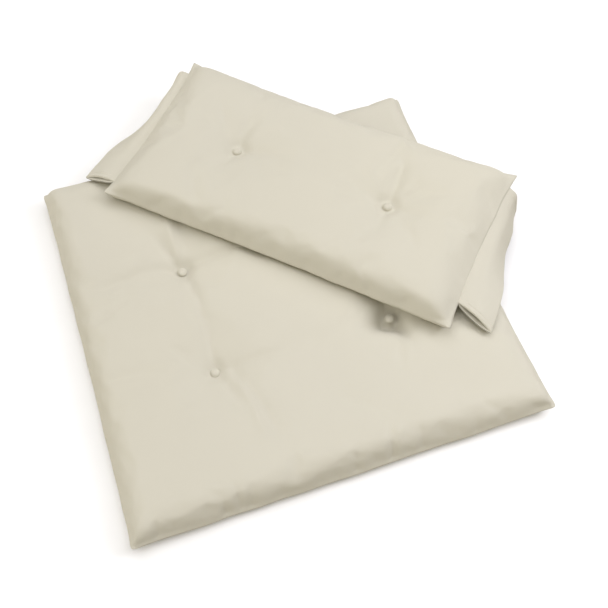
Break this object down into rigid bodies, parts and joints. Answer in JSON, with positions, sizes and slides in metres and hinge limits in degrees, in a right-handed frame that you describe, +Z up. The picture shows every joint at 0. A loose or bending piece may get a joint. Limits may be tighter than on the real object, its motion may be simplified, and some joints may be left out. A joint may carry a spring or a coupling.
{
  "type": "chair cushion set",
  "caption": "Tufted seat pad with a tufted back pad lying across it, whose end sleeves slip over a chair's back posts.",
  "frame": {"origin": "centre of the seat pad's underside, on the surface that it lies on", "axes": "+Z up, -Y towards the seat's front edge, +X to the seat's right"},
  "size_m": [0.5782, 0.6059, 0.0843],
  "materials": {
    "cover_cloth": "matte",
    "sleeve_cloth": "matte",
    "button_cloth": "matte",
    "fibre_filling": "matte",
    "sewing_thread": "matte",
    "tufting_twine": "matte",
    "button_metal": "satin"
  },
  "bodies": {
    "seat_pad": {"seat_top_panel": "cover_cloth", "seat_bottom_panel": "cover_cloth", "seat_filling": "fibre_filling", "seat_seam_thread": "sewing_thread", "seat_button_front_left": "button_cloth", "seat_button_front_right": "button_cloth", "seat_button_rear_left": "button_cloth", "seat_button_rear_right": "button_cloth", "seat_under_button_front_left": "button_cloth", "seat_under_button_front_right": "button_cloth", "seat_under_button_rear_left": "button_cloth", "seat_under_button_rear_right": "button_cloth", "seat_button_shells": "button_metal", "seat_under_button_shells": "button_metal", "seat_button_backs": "button_metal", "seat_under_button_backs": "button_metal", "seat_twine_front_left": "tufting_twine", "seat_twine_front_right": "tufting_twine", "seat_twine_rear_left": "tufting_twine", "seat_twine_rear_right": "tufting_twine"},
    "back_pad": {"back_front_panel": "cover_cloth", "back_rear_panel": "cover_cloth", "back_filling": "fibre_filling", "back_seam_thread": "sewing_thread", "back_button_left": "button_cloth", "back_button_right": "button_cloth", "back_rear_button_left": "button_cloth", "back_rear_button_right": "button_cloth", "back_button_shells": "button_metal", "back_rear_button_shells": "button_metal", "back_button_backs": "button_metal", "back_rear_button_backs": "button_metal", "back_twine_left": "tufting_twine", "back_twine_right": "tufting_twine"},
    "left_post_sleeve": {"left_sleeve": "sleeve_cloth", "left_sleeve_stitching": "sewing_thread"},
    "right_post_sleeve": {"right_sleeve": "sleeve_cloth", "right_sleeve_stitching": "sewing_thread"}
  },
  "joints": [
    {"name": "back_pad_lift", "type": "slide", "parent": "seat_pad", "child": "back_pad", "axis": [0, 0, 1], "range_m": [0, 0.2]},
    {"name": "left_sleeve_fold", "type": "hinge", "parent": "back_pad", "child": "left_post_sleeve", "pos_m": [-0.08505, 0.26656, 0.0603], "axis": [0.6947, 0.7193, 0], "range_deg": [0, 100]},
    {"name": "right_sleeve_fold", "type": "hinge", "parent": "back_pad", "child": "right_post_sleeve", "pos_m": [0.23505, -0.04256, 0.0603], "axis": [-0.6947, -0.7193, 0], "range_deg": [0, 100]}
  ]
}
